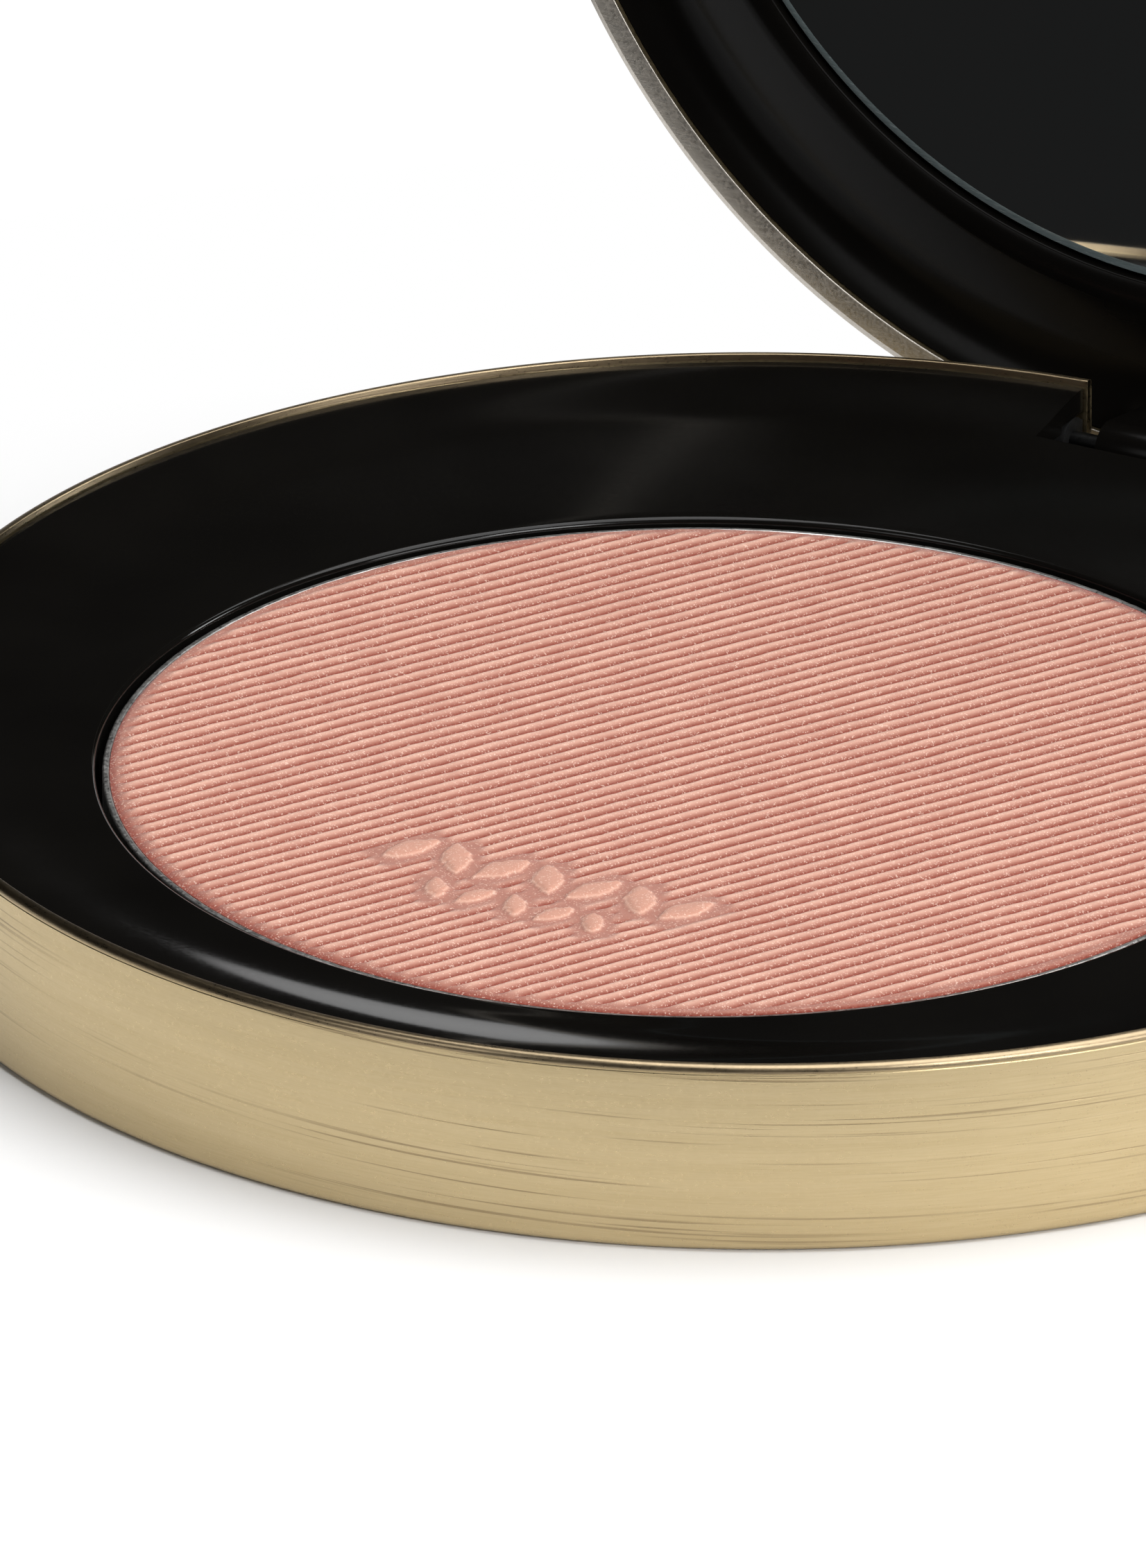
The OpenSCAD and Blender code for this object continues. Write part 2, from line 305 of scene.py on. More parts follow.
class Surface:
    """One node material round a Principled shader, with short calls for its nodes."""

    def __init__(self, name, **settings):
        self.material = bpy.data.materials.new(name)
        self.material.use_nodes = True
        self.tree = self.material.node_tree
        self.shader = self.tree.nodes["Principled BSDF"]
        for key, value in settings.items():
            self.shader.inputs[key.replace("_", " ")].default_value = value
        self.place = self.add("ShaderNodeTexCoord").outputs["Object"]

    def add(self, kind, inputs=None, **settings):
        node = self.tree.nodes.new(kind)
        for key, value in settings.items():
            setattr(node, key, value)
        for key, value in (inputs or {}).items():
            self.feed(node.inputs[key], value)
        return node

    def feed(self, socket, value):
        if isinstance(value, bpy.types.NodeSocket):
            self.tree.links.new(value, socket)
        else:
            socket.default_value = value

    def math(self, operation, a, b=0.0, c=0.0):
        return self.add("ShaderNodeMath", {0: a, 1: b, 2: c}, operation=operation).outputs[0]

    def stretch(self, x, y, z):
        """Object coordinates in millimetres, scaled by x, y and z."""
        scale = (x / MM, y / MM, z / MM)
        return self.add("ShaderNodeMapping", {"Vector": self.place, "Scale": scale}).outputs[0]

    def noise(self, vector, detail=3.0, rough=0.55, scale=1.0):
        inputs = {"Vector": vector, "Scale": scale, "Detail": detail, "Roughness": rough}
        return self.add("ShaderNodeTexNoise", inputs).outputs["Fac"]

    def between(self, value, low, high, to_low=0.0, to_high=1.0):
        inputs = {0: value, 1: low, 2: high, 3: to_low, 4: to_high}
        return self.add("ShaderNodeMapRange", inputs).outputs[0]

    def blend(self, factor, a, b):
        inputs = {"Factor": factor, 6: a, 7: b}
        return self.add("ShaderNodeMix", inputs, data_type="RGBA").outputs[2]

    def set(self, key, value):
        self.feed(self.shader.inputs[key], value)

    def bump(self, height, depth, strength=1.0, onto=None):
        """Bump of a height from 0 to 1 that stands for depth millimetres."""
        inputs = {"Height": height, "Distance": depth * MM, "Strength": strength}
        if onto is not None:
            inputs["Normal"] = onto
        return self.add("ShaderNodeBump", inputs).outputs[0]


def colour(red, green, blue):
    return (red, green, blue, 1.0)


def brushed_gold(name, on_lid=False):
    """Champagne metal, brushed round the case: fine grain, a few long scratches and, on the base, painted
    shade along the top edge.
    """
    s = Surface(
        name, Metallic=1.0, Anisotropic=0.6, Anisotropic_Rotation=0.25, Coat_Weight=0.2, Coat_Roughness=0.25)
    if on_lid:
        s.place = s.add("ShaderNodeMapping", {"Vector": s.place, "Rotation": (-OPEN_TURN, 0, 0)}).outputs[0]
    fine = s.noise(s.stretch(0.5, 0.5, 16.0), detail=4.0, rough=0.6)
    broad = s.noise(s.stretch(0.08, 0.08, 2.2), detail=3.0)
    grain = s.noise(s.stretch(6.0, 6.0, 9.0), detail=2.0)
    x, y, z = s.add("ShaderNodeSeparateXYZ", {0: s.place}).outputs
    slanted = s.math("MULTIPLY_ADD", x, 0.02, z)
    long_way = s.add("ShaderNodeCombineXYZ", {0: x, 1: y, 2: s.math("MULTIPLY", slanted, 130.0)}).outputs[0]
    lines = s.noise(long_way, detail=2.0, rough=0.5, scale=50.0)
    scratch = s.between(lines, 0.60, 0.67)
    where = s.between(s.noise(s.stretch(0.07, 0.07, 0.4), detail=1.0), 0.45, 0.6)
    scratch = s.math("MULTIPLY", scratch, where)
    base = s.blend(broad, colour(0.50, 0.385, 0.205), colour(0.60, 0.475, 0.275))
    base = s.blend(s.between(fine, 0.35, 0.7, 0.0, 0.35), base, colour(0.66, 0.54, 0.33))
    base = s.blend(s.math("MULTIPLY", scratch, 0.6), base, colour(0.24, 0.17, 0.09))
    if not on_lid:
        # painted shade: the base's top edge is darkened, which dims the highlight on its rounding
        edge = s.between(z, (BASE_H - EDGE_SHADE[0]) * MM, (BASE_H - EDGE_SHADE[1]) * MM, 0.0, 0.7)
        base = s.blend(edge, base, colour(0.20, 0.15, 0.10))
    s.set("Base Color", base)
    s.set("Roughness", s.between(s.math("ADD", fine, grain), 0.6, 1.4, 0.24, 0.40))
    height = s.math("ADD", s.math("MULTIPLY", fine, 0.7), s.math("MULTIPLY", grain, 0.2))
    height = s.math("SUBTRACT", height, s.math("MULTIPLY", scratch, 0.6))
    s.set("Normal", s.bump(height, 0.012, 0.6))
    axis = "Y" if on_lid else "Z"
    s.set("Tangent", s.add("ShaderNodeTangent", direction_type="RADIAL", axis=axis).outputs[0])
    return s.material


def gloss_black(name, rough=0.05, back_rough=0.05, orange_peel=0.002, specular=0.3):
    """Polished black moulding, faintly uneven, that may turn satin towards the hinge."""
    s = Surface(name, Specular_IOR_Level=specular)
    cloud = s.noise(s.stretch(0.12, 0.12, 0.12), detail=2.0)
    speck = s.noise(s.stretch(5.0, 5.0, 5.0), detail=1.0)
    s.set("Base Color", s.blend(cloud, colour(0.0018, 0.0016, 0.0014), colour(0.005, 0.0045, 0.0038)))
    y = s.add("ShaderNodeSeparateXYZ", {0: s.place}).outputs[1]
    satin = s.between(y, 0.0, 0.018, rough, back_rough)
    s.set("Roughness", s.math("ADD", satin, s.between(s.math("ADD", cloud, speck), 0.7, 1.3, 0.0, 0.04)))
    s.set("Normal", s.bump(s.noise(s.stretch(0.35, 0.35, 0.35), detail=1.0), orange_peel, 0.5))
    return s.material


def metal(name, dark, light, rough, stretch=(0.6, 0.6, 0.6), depth=0.01):
    """Plain metal with a mottled finish."""
    s = Surface(name, Metallic=1.0)
    mottle = s.noise(s.stretch(*stretch), detail=5.0, rough=0.65)
    fine = s.noise(s.stretch(7.0, 7.0, 7.0), detail=2.0)
    s.set("Base Color", s.blend(s.between(mottle, 0.3, 0.7), colour(*dark), colour(*light)))
    s.set("Roughness", s.between(fine, 0.3, 0.7, rough - 0.08, rough + 0.1))
    s.set("Normal", s.bump(s.math("ADD", mottle, s.math("MULTIPLY", fine, 0.5)), depth, 0.6))
    return s.material


def matt(name, dark, light, rough, grain=3.0, depth=0.02):
    """Moulded plastic, card or foam with a fine grain."""
    s = Surface(name)
    fine = s.noise(s.stretch(grain, grain, grain), detail=3.0)
    cloud = s.noise(s.stretch(0.15, 0.15, 0.15), detail=2.0)
    s.set("Base Color", s.blend(cloud, colour(*dark), colour(*light)))
    s.set("Roughness", s.between(fine, 0.3, 0.7, rough - 0.08, rough + 0.08))
    s.set("Normal", s.bump(fine, depth, 0.5))
    return s.material


def pressed_powder(name):
    """Soft pressed powder: painted shade makes the grooves darker and redder than the crests, and flecks with
    a painted glint give a fine shimmer.
    """
    s = Surface(name, IOR=1.4, Sheen_Weight=0.25, Sheen_Roughness=0.4, Specular_IOR_Level=0.3)
    height = s.add("ShaderNodeSeparateXYZ", {0: s.place}).outputs[2]
    level = s.between(height, (RIB_TOP - RIB_H) * MM, RIB_TOP * MM)
    grain = s.noise(s.stretch(11.0, 11.0, 11.0), detail=4.0, rough=0.7)
    cloud = s.noise(s.stretch(0.25, 0.25, 0.25), detail=2.0)
    crest = s.blend(cloud, colour(0.645, 0.385, 0.295), colour(0.685, 0.415, 0.32))
    # painted shade: the lower a point lies on the ribs, the darker and redder it is coloured, down to this
    # colour at a groove's bottom
    groove_shade = colour(0.205, 0.026, 0.014)
    base = s.blend(s.math("POWER", level, 2.2), groove_shade, crest)
    on_mark = s.between(height, (RIB_TOP + 0.01) * MM, (RIB_TOP + MARK_H / 2) * MM, 0.0, 0.7)
    base = s.blend(on_mark, base, colour(0.50, 0.235, 0.165))
    base = s.blend(s.between(grain, 0.4, 0.75, 0.0, 0.4), base, colour(0.50, 0.20, 0.14))
    cells = s.add("ShaderNodeTexVoronoi", {"Vector": s.stretch(19.0, 19.0, 19.0), "Scale": 1.0})
    spark = s.add("ShaderNodeSeparateColor", {0: cells.outputs["Color"]}).outputs[0]
    glint = s.between(spark, 0.86, 0.98)
    # painted glint: the flecks get a lighter colour, and a lower roughness for their own shine
    s.set("Base Color", s.blend(s.math("MULTIPLY", glint, 0.42), base, colour(0.92, 0.70, 0.58)))
    s.set("Roughness", s.between(glint, 0.0, 1.0, 0.78, 0.5))
    s.set("Normal", s.bump(grain, 0.03, 0.7))
    return s.material


def mirror_face(name):
    """Silvered glass with the faintest haze."""
    s = Surface(name, Metallic=1.0)
    haze = s.noise(s.stretch(0.1, 0.1, 0.1), detail=3.0)
    s.set("Base Color", s.blend(haze, colour(0.80, 0.83, 0.83), colour(0.86, 0.88, 0.88)))
    s.set("Roughness", s.between(haze, 0.3, 0.7, 0.005, 0.02))
    return s.material


def glass_edge(name):
    """Ground and polished edge of the mirror glass, blue-green in depth."""
    s = Surface(name, Metallic=0.2)
    grind = s.noise(s.stretch(2.0, 2.0, 12.0), detail=3.0)
    s.set("Base Color", s.blend(grind, colour(0.16, 0.24, 0.25), colour(0.42, 0.52, 0.54)))
    s.set("Roughness", s.between(grind, 0.3, 0.7, 0.12, 0.3))
    return s.material


GOLD = brushed_gold("brushed_gold")
LID_GOLD = brushed_gold("lid_brushed_gold", True)
PALE = metal("lid_rim_metal", (0.50, 0.46, 0.40), (0.62, 0.58, 0.52), 0.38, (0.5, 0.5, 12.0), 0.006)
BLACK = gloss_black("gloss_black", 0.06, 0.16, specular=0.24)
FRAME_BLACK = gloss_black("lid_frame_black", 0.2, 0.2, specular=0.06)
LACQUER = gloss_black("lid_lacquer", orange_peel=0.004)
ALUMINIUM = metal("pan_aluminium", (0.42, 0.41, 0.39), (0.72, 0.71, 0.69), 0.34, (1.4, 1.4, 1.4), 0.02)
STEEL = metal("steel", (0.38, 0.38, 0.39), (0.55, 0.55, 0.56), 0.35)
# the hinge pin is steel; its near-black colour is painted shade for the dark hinge bay
PIN = metal("pin_steel_painted_shade", (0.008, 0.008, 0.008), (0.02, 0.02, 0.02), 0.5)
MAGNET = metal("magnet_nickel", (0.50, 0.49, 0.47), (0.66, 0.65, 0.62), 0.22)
BLACK_PLASTIC = matt("black_plastic", (0.004, 0.004, 0.004), (0.010, 0.010, 0.010), 0.5)
COVER = matt("cover_black", (0.010, 0.010, 0.010), (0.020, 0.020, 0.020), 0.42, 5.0, 0.03)
LABEL = matt("label_stock", (0.55, 0.55, 0.54), (0.63, 0.63, 0.62), 0.55, 2.0, 0.01)
TAPE = matt("foam_tape", (0.62, 0.62, 0.60), (0.74, 0.74, 0.72), 0.8, 4.0, 0.05)
POWDER = pressed_powder("pressed_powder")
MIRROR = mirror_face("mirror_silver")
MIRROR_EDGE = glass_edge("mirror_glass_edge")


# ---------------------------------------------------------------- base pieces

def base_band():
    """Brushed sleeve: rounded foot, a fine line under the softly rounded top edge, and the hinge notch."""
    line_z = BASE_H - LINE_DROP
    groove = CASE_R - LINE_DEPTH
    inner = CASE_R - SLEEVE_WALL
    outline = rounded([
        (LIP_IN, 0, 0.04), (CASE_R, 0, FOOT_ROUND),
        (CASE_R, line_z - 0.05, 0.01), (groove, line_z - 0.02, 0.01),
        (groove, line_z + 0.02, 0.01), (CASE_R, line_z + 0.05, 0.01),
        (CASE_R, BASE_H, EDGE_ROUND), (inner, BASE_H, 0.05), (inner, LIP_T, 0.03), (LIP_IN, LIP_T, 0.03),
    ])
    band = lathe("gold_band", outline, 512)
    notch = block("notch", (-NOTCH_W / 2, 0, BASE_H - NOTCH_D), (NOTCH_W / 2, CASE_R + 1, BASE_H + 1))
    combine(band, [notch], "DIFFERENCE")
    soften(band, 0.05)
    dress(band, "base", ["base_ring"], "brushed_gold", GOLD)


def ease(value, low, high):
    """Smooth step from 0 at low to 1 at high."""
    t = np.clip((value - low) / (high - low), 0, 1)
    return t * t * (3 - 2 * t)


def dish_height(radius):
    """Height of the dish: flat, then a soft step up to the sleeve."""
    return DISH_Z + (DISH_EDGE - DISH_Z) * ease(radius, DISH_FLAT, TRAY_R)


def black_dish():
    """Glossy dish round the off-centre well, lofted on rays from the pan's centre."""
    segments, steps = 384, 28
    turn = np.linspace(0, 2 * math.pi, segments, endpoint=False)
    ray = np.stack([np.cos(turn), np.sin(turn)], 1)
    pan = np.array([0.0, PAN_Y])

    def reach(radius):
        """Distance from the pan's centre to the circle of that radius round the case's centre."""
        along = ray @ pan
        return -along + np.sqrt(along ** 2 + radius ** 2 - pan @ pan)

    def ring(distance, height):
        flat = pan + ray * np.reshape(distance, (-1, 1)) * np.ones((segments, 1))
        return np.column_stack([flat, np.full(segments, height) if np.isscalar(height) else height])

    def point(distance, height):
        return ring(np.full(segments, distance), height)

    under = DISH_Z - DISH_T
    rings = [
        point(OPENING_R + WELL_WALL, WELL_BASE), point(OPENING_R + WELL_WALL, under),
        ring(reach(TRAY_R - 1), under), ring(reach(TRAY_R - 1), under - 0.05),
        ring(reach(TRAY_R), under - 0.05), ring(reach(TRAY_R), DISH_EDGE - 0.06),
    ]
    start, end = reach(TRAY_R - 0.05), np.full(segments, OPENING_R + DISH_LIP)
    for k in range(steps + 1):
        distance = start + (end - start) * (k / steps)
        spot = pan + ray * distance[:, None]
        rings.append(ring(distance, dish_height(np.hypot(spot[:, 0], spot[:, 1]))))
    for k in range(1, 9):
        bend = math.pi / 2 * k / 8
        across, down = DISH_LIP * (1 - math.sin(bend)), DISH_LIP * (1 - math.cos(bend))
        rings.append(point(OPENING_R + across, DISH_Z - down))
    rings.append(point(OPENING_R, WELL_FLOOR + 0.1))
    rings.append(point(OPENING_R - 0.1, WELL_FLOOR))
    verts = np.concatenate(rings)
    pairs = [(k, (k + 1) % segments) for k in range(segments)]
    faces = []
    for i in range(len(rings) - 1):
        low, high = i * segments, (i + 1) * segments
        faces += [(low + k, low + n, high + n, high + k) for k, n in pairs]
    faces.append(tuple(range(segments)))
    last = (len(rings) - 1) * segments
    faces.append(tuple(range(last, last + segments)))
    dish = finish_mesh("black_dish", verts, faces)
    bay = block("bay", (-CHEEK_IN, BAY_FRONT, 0), (CHEEK_IN, CASE_R + 1, BASE_H + 1))
    side = CHEEK_OUT + 0.3
    cheeks = block("cheeks", (-side, CHEEK_FRONT, -1), (side, CASE_R + 2, CHEEK_TOP))
    combine(dish, [bay, cheeks], "DIFFERENCE")
    dish.data.set_sharp_from_angle(angle=math.radians(35))
    dress(dish, "base", ["base_insert"], "gloss_black", BLACK)


def lattice_noise(x, y, seed):
    """Smooth noise from -1 to 1 on a lattice of unit cells."""
    table = np.random.default_rng(seed).uniform(-1, 1, (256, 256))
    column, row = np.floor(x).astype(int), np.floor(y).astype(int)
    a, b = x - column, y - row
    a, b = a * a * (3 - 2 * a), b * b * (3 - 2 * b)

    def at(dx, dy):
        return table[(column + dx) & 255, (row + dy) & 255]

    return (at(0, 0) * (1 - a) + at(1, 0) * a) * (1 - b) + (at(0, 1) * (1 - a) + at(1, 1) * a) * b


MARK_Y = -14.0
MARK_GAP = 2.75
LEAF_TILT = math.radians(28)
LEAF_ROWS = (  # leaves on each side of the middle one, pitch, row's y, length, width
    (3, 2.05, MARK_Y + MARK_GAP / 2, 2.7, 1.15),
    (2, 1.75, MARK_Y - MARK_GAP / 2, 1.9, 0.85),
)


def mark_heights(x, y):
    """How far the ribs are smoothed away round the mark, and how high its leaves stand, from 0 to 1."""
    smooth, raised = np.zeros_like(x), np.zeros_like(x)
    ragged = 0.07 * lattice_noise(x * 4, y * 4, 21) + 0.05 * lattice_noise(x * 9, y * 9, 22)
    for half_count, pitch, row_y, length, width in LEAF_ROWS:
        for i in range(-half_count, half_count + 1):
            tilt = LEAF_TILT if i % 2 == 0 else -LEAF_TILT
            dx, dy = x - i * pitch, y - row_y
            across = dx * math.cos(tilt) + dy * math.sin(tilt)
            along = -dx * math.sin(tilt) + dy * math.cos(tilt)
            inside = width / 2 * (1 - (2 * along / length) ** 2) - np.abs(across)
            leaf = 0.8 * ease(inside + ragged, -0.08, 0.10) + 0.2 * ease(inside, 0.05, 0.45)
            raised = np.maximum(raised, leaf)
            past_end = np.maximum(np.abs(along) - length / 2, 0)
            past_side = np.maximum(np.abs(across) - width / 2, 0)
            far = np.hypot(past_end, past_side)
            smooth = np.maximum(smooth, 1 - ease(far, 0.15, 0.75))
    return smooth, raised


def powder_surface():
    """Pressed powder: rows of points across the ribs, packed closer in the grooves and round the mark."""
    per_rib, columns = 10, 155
    half_ribs = math.ceil(CAKE_R / RIB_PITCH)
    phase = np.arange(-half_ribs * per_rib, half_ribs * per_rib + 1) / per_rib
    groove_pull = 0.55 / (2 * math.pi)
    across = (phase + groove_pull * np.sin(2 * math.pi * phase)) * RIB_PITCH
    across = across[np.abs(across) < CAKE_R - 0.02]
    edge = CAKE_R - 0.02
    across = np.concatenate([[-edge], across, [edge]])
    fine = np.linspace(-1, 1, 2001)
    crowding = np.cumsum(1 + 2.2 * np.exp(-((fine + 0.54) / 0.2) ** 2))
    share = np.interp(np.linspace(crowding[0], crowding[-1], columns), crowding, fine)
    half_row = np.sqrt(CAKE_R ** 2 - across ** 2)
    u = half_row[:, None] * share[None, :]
    v = np.repeat(across[:, None], columns, 1)
    x = u * math.cos(RIB_ANGLE) - v * math.sin(RIB_ANGLE)
    y = u * math.sin(RIB_ANGLE) + v * math.cos(RIB_ANGLE)
    radius = np.hypot(x, y)
    wander = 0.035 * lattice_noise(u * 0.7, v * 0.5, 11) + 0.02 * lattice_noise(u * 2.3, v * 1.5, 12)
    step = (v + wander) / RIB_PITCH
    rib = 1 - np.abs(2 * (step - np.round(step))) ** RIB_POWER
    rib *= 1 + 0.06 * lattice_noise(u * 0.9, v * 1.1, 13)
    ragged = radius + 0.08 * lattice_noise(u * 3, v * 3, 14)
    body = 1 - ease(ragged, CAKE_R - BORDER - 0.25, CAKE_R - BORDER + 0.25)
    smooth, raised = mark_heights(x, y)
    level = rib * body + BORDER_SHARE * (1 - body)
    height = RIB_H * (GROOVE_SHARE + (1 - GROOVE_SHARE) * level)
    height = height * (1 - smooth) + RIB_H * GROUND_SHARE * smooth
    leaf_h = RIB_H * (1 - GROUND_SHARE) + MARK_H
    height += raised * leaf_h * (0.93 + 0.07 * lattice_noise(x * 5, y * 5, 23))
    height += 0.008 * lattice_noise(u * 4, v * 4, 15) * (1 - 0.5 * smooth)
    height -= 0.10 * ease(radius, CAKE_R - 0.12, CAKE_R)
    z = np.minimum(RIB_TOP - RIB_H + height, CAKE_HIGH.z)
    rows = len(across)
    verts = np.stack([x, y + PAN_Y, z], 2).reshape(-1, 3)
    index = np.arange(rows * columns).reshape(rows, columns)
    quads = np.stack([index[:-1, :-1], index[:-1, 1:], index[1:, 1:], index[1:, :-1]], 2).reshape(-1, 4)
    rim = np.concatenate([index[0, :], index[1:, -1], index[-1, -2::-1], index[-2:0:-1, 0]])
    below = verts[rim].copy()
    below[:, 2] = CAKE_LOW.z
    low = np.arange(len(verts), len(verts) + len(rim))
    wall = np.stack([rim, np.roll(rim, -1), np.roll(low, -1), low], 1)
    faces = [*map(tuple, quads.tolist()), *map(tuple, wall.tolist()), tuple(low.tolist())]
    cake = finish_mesh("powder_surface", np.concatenate([verts, below]), faces)
    cake.data.set_sharp_from_angle(angle=math.radians(60))
    dress(cake, "base", ["powder_cake"], "powder", POWDER)


# ---------------------------------------------------------------- lid pieces

def lid_band():
    """Sleeve of the lid: flat rim with an outer bevel, straight side, and a rounded lip round the cap."""
    top = LID_TOP - 0.1
    inner, lip = CASE_R - RIM_WALL, CAP_R + 0.08
    outline = rounded([
        (inner, RIM_Z, 0.06), (CASE_R - RIM_BEVEL, RIM_Z, 0.05), (CASE_R, RIM_Z + RIM_BEVEL, 0.06),
        (CASE_R, top, 0.48), (lip, top, 0.06), (lip, top - CAP_SINK, 0.03), (inner, top - CAP_SINK, 0.05),
    ])
    band = lathe("lid_band", outline, 512)
    rim = [face.center.z < (RIM_Z + RIM_BEVEL - 0.03) * MM for face in band.data.polygons]
    open_lid(band)
    dress(band, "lid", ["lid_ring"], "lid_gold", LID_GOLD, PALE)
    for face, low in zip(band.data.polygons, rim):
        face.material_index = int(low)


def mirror_frame():
    """Glossy frame: a boss round the mirror whose flank falls away to the rim in one smooth curve."""
    seat_r = MIRROR_R + 0.2
    steps = 24

    def flank(radius):
        run = radius - FLANK_R
        return RIM_Z - FLANK_DROP + FLANK_SLOPE * run + FLANK_CURVE / 2 * run * run

    def sweep(last):
        return [FLANK_R + (last - FLANK_R) * i / steps for i in range(steps + 1)]

    outline = [
        (0, SEAT_Z), (seat_r - 0.1, SEAT_Z), (seat_r, SEAT_Z - 0.1),
        (seat_r, BOSS_Z + 0.12), (seat_r + 0.03, BOSS_Z + 0.04), (seat_r + 0.1, BOSS_Z),
        (FLANK_R - 0.35, BOSS_Z), (FLANK_R - 0.18, BOSS_Z + 0.015),
    ]
    start, reach = COVE_R - 0.6, 1.5
    slope = FLANK_SLOPE + FLANK_CURVE * (start - FLANK_R)
    outline += [(r, flank(r)) for r in sweep(start)]
    crown = (start + reach, flank(start) + reach * slope)
    outline += fillet((start, flank(start)), crown, (FRAME_R, COVE_Z), 20)
    outline += [(FRAME_R, STIFF_Z), (FRAME_R - 1, STIFF_Z)]
    outline += [(r, flank(r) + 1) for r in reversed(sweep(FRAME_R - 1))]
    outline += [(FLANK_R - 0.35, SEAT_Z + 1), (0, SEAT_Z + 1)]
    ring = lathe("mirror_frame", outline, 384, shut_lid=True)
    ring.data.set_sharp_from_angle(angle=math.radians(40))
    dress(ring, "lid", ["lid_frame"], "gloss_black_lid", FRAME_BLACK)
    root, half = HINGE_Y - ARM_IN, KNUCKLE_W / 2
    barrel = rod("lid_knuckle", KNUCKLE_R, half, shut_lid=True)
    arm = block("arm", (-half, root, HINGE_Z), (half, HINGE_Y + ARM_OUT, flank(root) + 1), True)
    combine(barrel, [arm], "UNION")
    combine(barrel, [rod("bore", PIN_HOLE, KNUCKLE_W, shut_lid=True)], "DIFFERENCE")
    soften(barrel, 0.06)
    dress(barrel, "lid", ["lid_frame"], "gloss_black_lid", FRAME_BLACK)


def mirror_pane():
    """Mirror with a narrow polished bevel round its face."""
    bevel_w, bevel_h = 0.4, 0.22
    top = MIRROR_Z + MIRROR_T
    outline = [
        (0, MIRROR_Z), (MIRROR_R - bevel_w, MIRROR_Z), (MIRROR_R - 0.02, MIRROR_Z + bevel_h),
        (MIRROR_R, MIRROR_Z + bevel_h + 0.04), (MIRROR_R, top - 0.05), (MIRROR_R - 0.05, top), (0, top),
    ]
    pane = lathe("mirror_pane", outline, 384)
    for face in pane.data.polygons:
        if math.hypot(face.center.x, face.center.y) > (MIRROR_R - bevel_w + 0.01) * MM:
            face.material_index = 1
    open_lid(pane)
    pane.data.set_sharp_from_angle(angle=math.radians(15))
    marks = [face.material_index for face in pane.data.polygons]
    dress(pane, "lid", ["mirror_glass"], "mirror", MIRROR, MIRROR_EDGE)
    for face, mark in zip(pane.data.polygons, marks):
        face.material_index = mark


# ---------------------------------------------------------------- CAD pieces that stay

KEPT = {
    "base_plate": COVER, "base_label": LABEL, "base_chassis": BLACK_PLASTIC, "weight_plate": STEEL,
    "pan_magnets": MAGNET, "pan_keeper": STEEL, "refill_pan": ALUMINIUM, "base_magnet": MAGNET,
    "hinge_pin": PIN, "lid_cap": LACQUER, "cap_tape": TAPE, "lid_stiffener": STEEL,
    "mirror_tape": TAPE, "lid_magnet": MAGNET,
}


def dress_kept():
    for node, material in KEPT.items():
        mesh = NODES[node].data
        mesh.materials.clear()
        mesh.materials.append(material)


# ---------------------------------------------------------------- studio

TABLE_R = 0.075
ROOM_R = 4.0
GLOW_CENTRE = (0, -0.02, 0)
GLOW_IN, GLOW_OUT = 0.042, 0.068


def stage_disc(name, inner, outer, material):
    """Flat ring or disc a hair below the compact that isn't part of it."""
    segments = 96
    turn = np.linspace(0, 2 * math.pi, segments, endpoint=False)
    circle = np.stack([np.cos(turn), np.sin(turn), np.zeros(segments)], 1)
    mesh = bpy.data.meshes.new(name)
    if inner > 0:
        verts = np.concatenate([circle * inner, circle * outer])
        around = [(k, (k + 1) % segments) for k in range(segments)]
        faces = [(a, segments + a, segments + b, b) for a, b in around]
    else:
        verts = circle * outer
        faces = [tuple(range(segments))]
    mesh.from_pydata(verts.tolist(), [], faces)
    mesh.materials.append(material)
    disc = bpy.data.objects.new(name, mesh)
    bpy.context.scene.collection.objects.link(disc)
    disc.location.z = -0.01 * MM
    return disc


def floor():
    """White table top that glows away its own shadows further out, and a plain white ground beyond it."""
    s = Surface("white_table", Roughness=0.9, Specular_IOR_Level=0.0)
    out = s.add("ShaderNodeVectorMath", {0: s.place, 1: GLOW_CENTRE}, operation="DISTANCE").outputs["Value"]
    glow = s.between(out, GLOW_IN, GLOW_OUT)
    s.set("Base Color", s.blend(glow, colour(0.82, 0.82, 0.82), colour(0, 0, 0)))
    s.set("Emission Color", colour(1, 1, 1))
    s.set("Emission Strength", glow)
    stage_disc("table", 0, TABLE_R, s.material)
    ground = Surface("white_ground", Emission_Strength=1.0)
    ground.set("Base Color", colour(0, 0, 0))
    ground.set("Emission Color", colour(1, 1, 1))
    beyond = stage_disc("ground", TABLE_R, ROOM_R, ground.material)
    beyond.visible_diffuse = False
    beyond.visible_glossy = False
    beyond.visible_shadow = False


def around(azimuth, elevation, distance):
    """Point in metres seen from the origin in that direction: azimuth turns from the front (-Y) towards +X,
    elevation rises from the floor.
    """
    a, e = math.radians(azimuth), math.radians(elevation)
    return (
        distance * math.sin(a) * math.cos(e),
        -distance * math.cos(a) * math.cos(e),
        distance * math.sin(e),
    )


def softbox(name, place, aim, width, height, power):
    """Rectangular soft light at place, turned to aim, both in metres."""
    light = bpy.data.lights.new(name, "AREA")
    light.shape = "RECTANGLE"
    light.size, light.size_y = width, height
    light.energy = power
    lamp = bpy.data.objects.new(name, light)
    bpy.context.scene.collection.objects.link(lamp)
    lamp.location = place
    lamp.rotation_euler = (Vector(aim) - Vector(place)).to_track_quat("-Z", "Y").to_euler()
    lamp.visible_camera = False


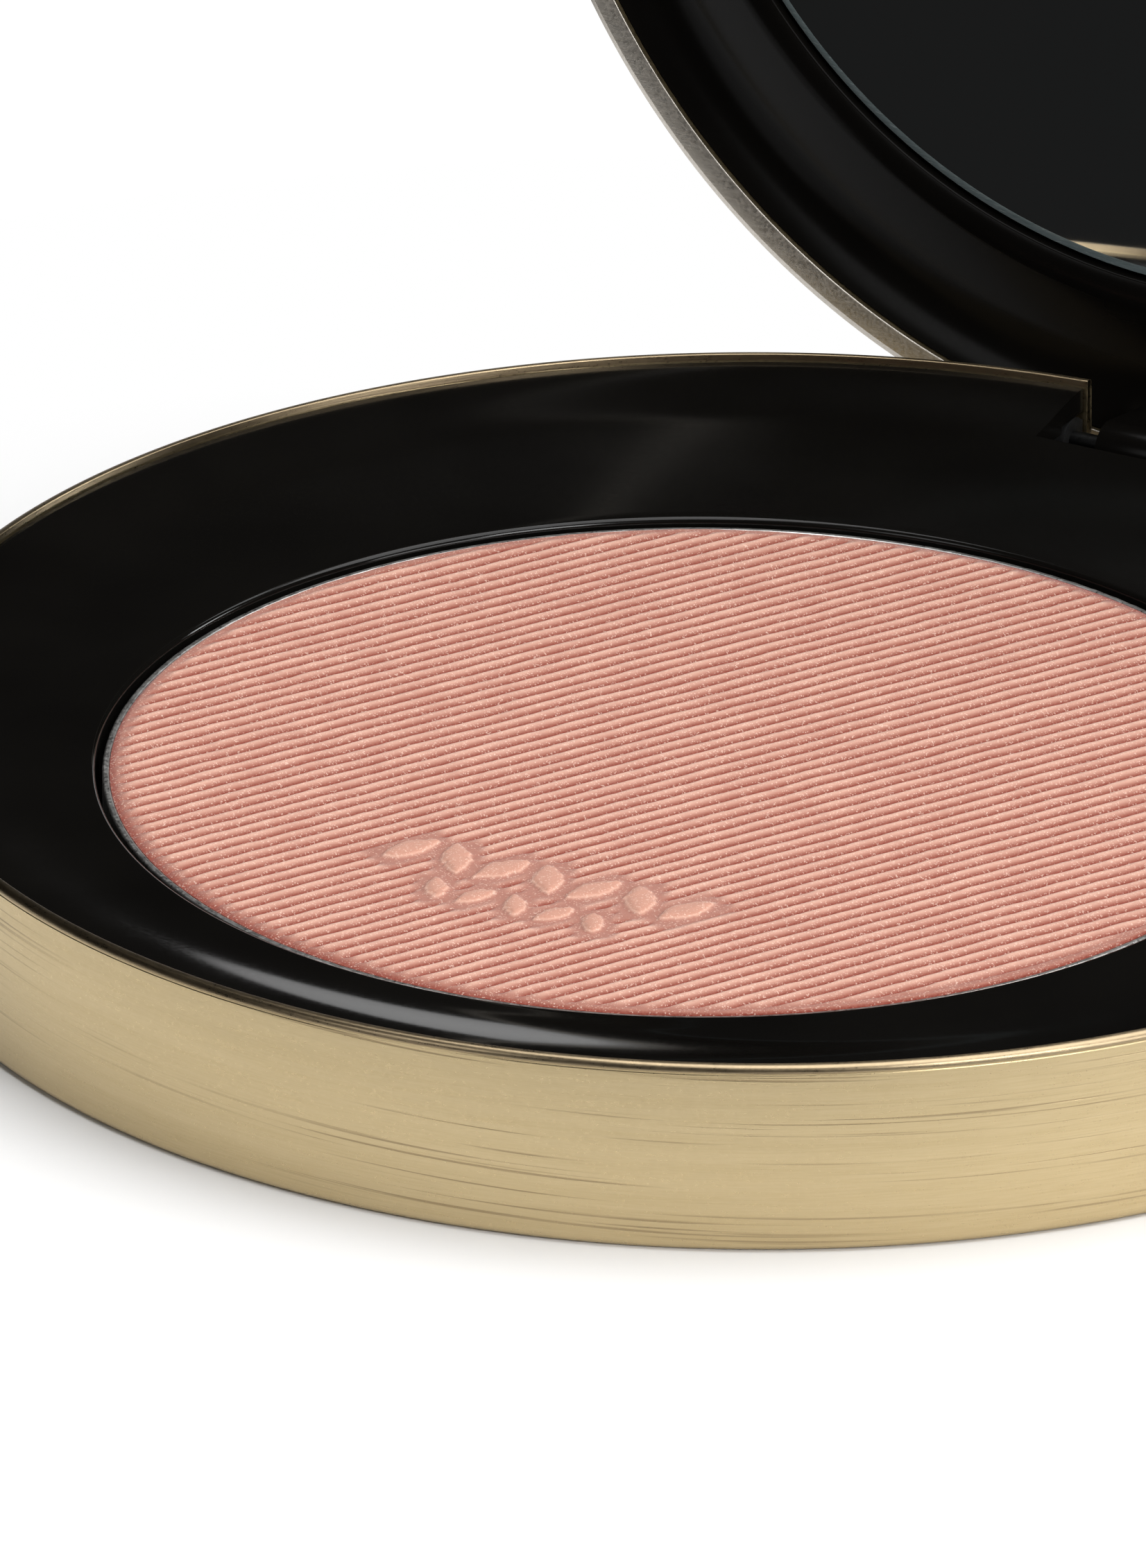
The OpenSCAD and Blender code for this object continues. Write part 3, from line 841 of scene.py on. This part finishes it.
def world(strength):
    """Plain white backdrop that lights and mirrors in the compact only dimly."""
    made = bpy.data.worlds.new("surroundings")
    made.use_nodes = True
    tree = made.node_tree
    back = tree.nodes["Background"]
    back.inputs["Color"].default_value = (1, 1, 1, 1)
    seen = tree.nodes.new("ShaderNodeLightPath").outputs["Is Camera Ray"]
    level = tree.nodes.new("ShaderNodeMapRange")
    level.inputs["To Min"].default_value = strength
    tree.links.new(seen, level.inputs["Value"])
    tree.links.new(level.outputs[0], back.inputs["Strength"])
    bpy.context.scene.world = made


VIEW_AZIMUTH = math.radians(28)
VIEW_ELEVATION = math.radians(24.55)
VIEW_DISTANCE = 25 * CASE_R * MM
AIM_RIGHT = -7.46 * MM
AIM_UP = 3.65 * MM
LENS = 502.1  # focal length on a sensor 36 wide
SENSOR = 36


def camera():
    """Long lens, framed tight on the front of the base, so that the lid runs out of the picture."""
    back = Vector((
        math.sin(VIEW_AZIMUTH) * math.cos(VIEW_ELEVATION),
        -math.cos(VIEW_AZIMUTH) * math.cos(VIEW_ELEVATION),
        math.sin(VIEW_ELEVATION),
    ))
    right = Vector((math.cos(VIEW_AZIMUTH), math.sin(VIEW_AZIMUTH), 0))
    aim = right * AIM_RIGHT + back.cross(right) * AIM_UP
    lens = bpy.data.cameras.new("camera")
    lens.lens = LENS
    lens.sensor_width = SENSOR
    lens.clip_start, lens.clip_end = 0.01, 20
    eye = bpy.data.objects.new("camera", lens)
    bpy.context.scene.collection.objects.link(eye)
    eye.location = back * VIEW_DISTANCE
    eye.rotation_euler = (aim - eye.location).to_track_quat("-Z", "Y").to_euler()
    bpy.context.scene.camera = eye


base_band()
black_dish()
powder_surface()
lid_band()
mirror_frame()
mirror_pane()
dress_kept()
floor()
camera()
world(0.012)
softbox("overhead", (0.25, 0.25, 1.2), (0, 0, 0), 1.4, 1.4, 23.4)
softbox("front_left", around(-18, 32, 0.9), (0, 0, 0), 0.3, 0.3, 0.75)
softbox("front_right", around(60, 30, 0.9), (0, 0, 0), 0.3, 0.3, 3.5)
softbox("right_strip", around(80, 14, 0.7), (0, 0, 0), 0.3, 0.25, 1.2)
softbox("back_left_card", (-0.27, 0.62, 0.088), (0, 0, 0.005), 0.46, 0.08, 0.12)
bpy.context.scene.view_settings.view_transform = "Standard"
